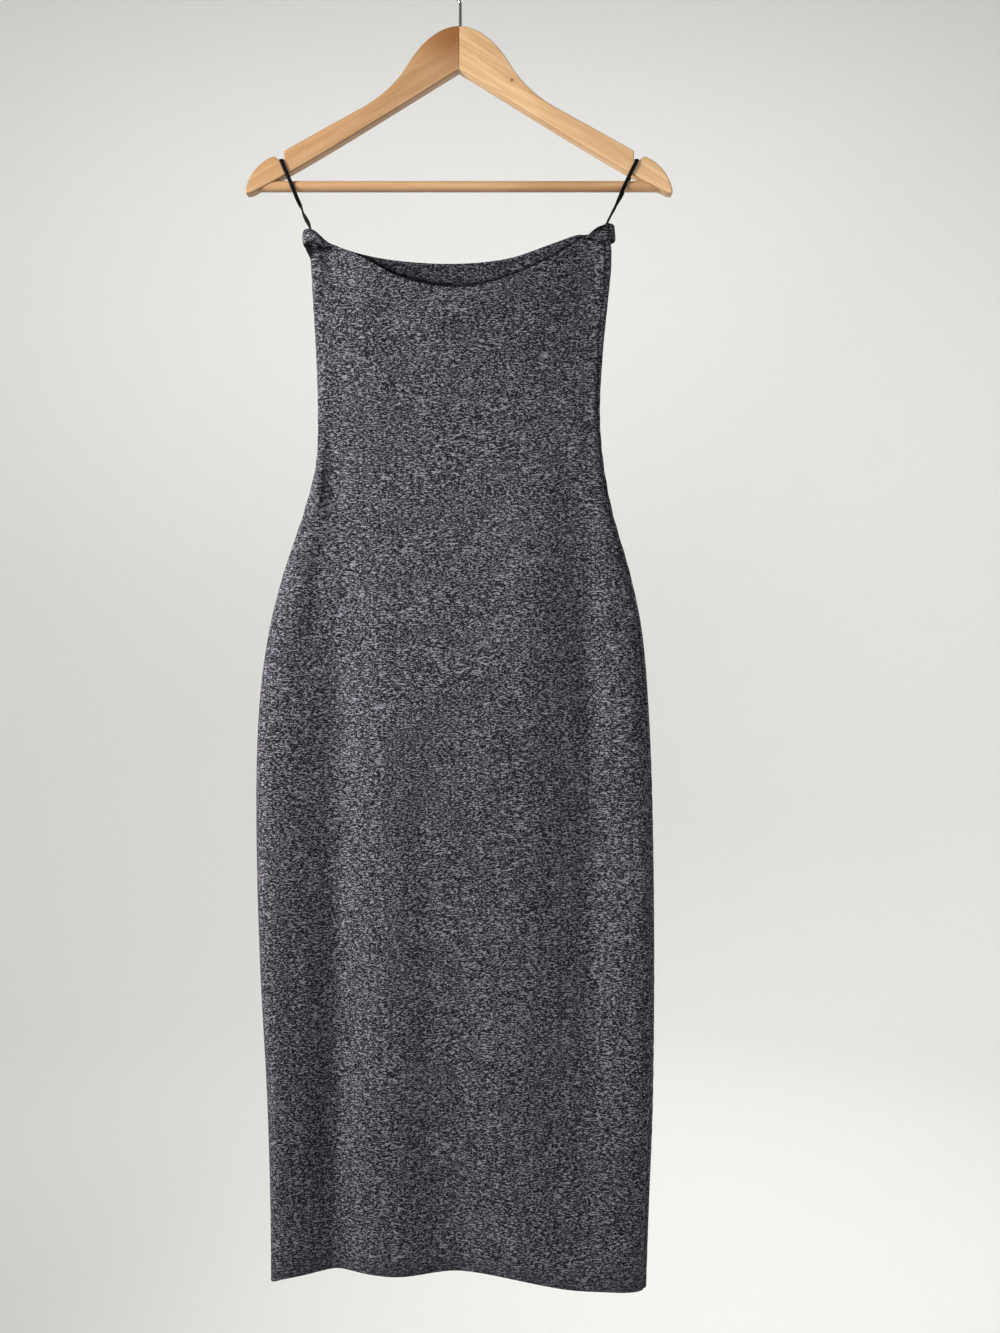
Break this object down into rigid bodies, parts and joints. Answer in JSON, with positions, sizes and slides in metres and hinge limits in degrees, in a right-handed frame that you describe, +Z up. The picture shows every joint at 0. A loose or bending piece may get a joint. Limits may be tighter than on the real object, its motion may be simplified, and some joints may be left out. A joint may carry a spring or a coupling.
{
  "type": "strapless dress on wooden hanger",
  "caption": "Fitted strapless midi dress in thick charcoal knit, its top corners held by ribbon loops in the notches of a wooden hanger with a trouser bar and wire hook.",
  "frame": {"origin": "the seat of the hook: the highest point of the inside of its bow, where it rests on a rail, in the hanger's middle plane", "axes": "+Z up, +X to the right of someone who faces the front of the dress, -Y towards them"},
  "size_m": [0.4436, 0.0542, 1.3698],
  "materials": {
    "cloth": "matt heathered double knit, charcoal with fine lighter horizontal slubs",
    "ribbon": "near black satin ribbon with a soft sheen",
    "arm_wood": "pale clear-lacquered wood with fine grain, browner near the crown of the left arm",
    "bar_wood": "clear-lacquered round wooden bar, a little darker than the arms",
    "hook_steel": "bright plated steel wire"
  },
  "bodies": {
    "root": {"front_panel": "cloth", "back_panel": "cloth", "loop_left": "ribbon", "loop_right": "ribbon", "hanger_arm_left": "arm_wood", "hanger_arm_right": "arm_wood", "hanger_bar": "bar_wood", "hanger_hook": "hook_steel"}
  },
  "joints": []
}
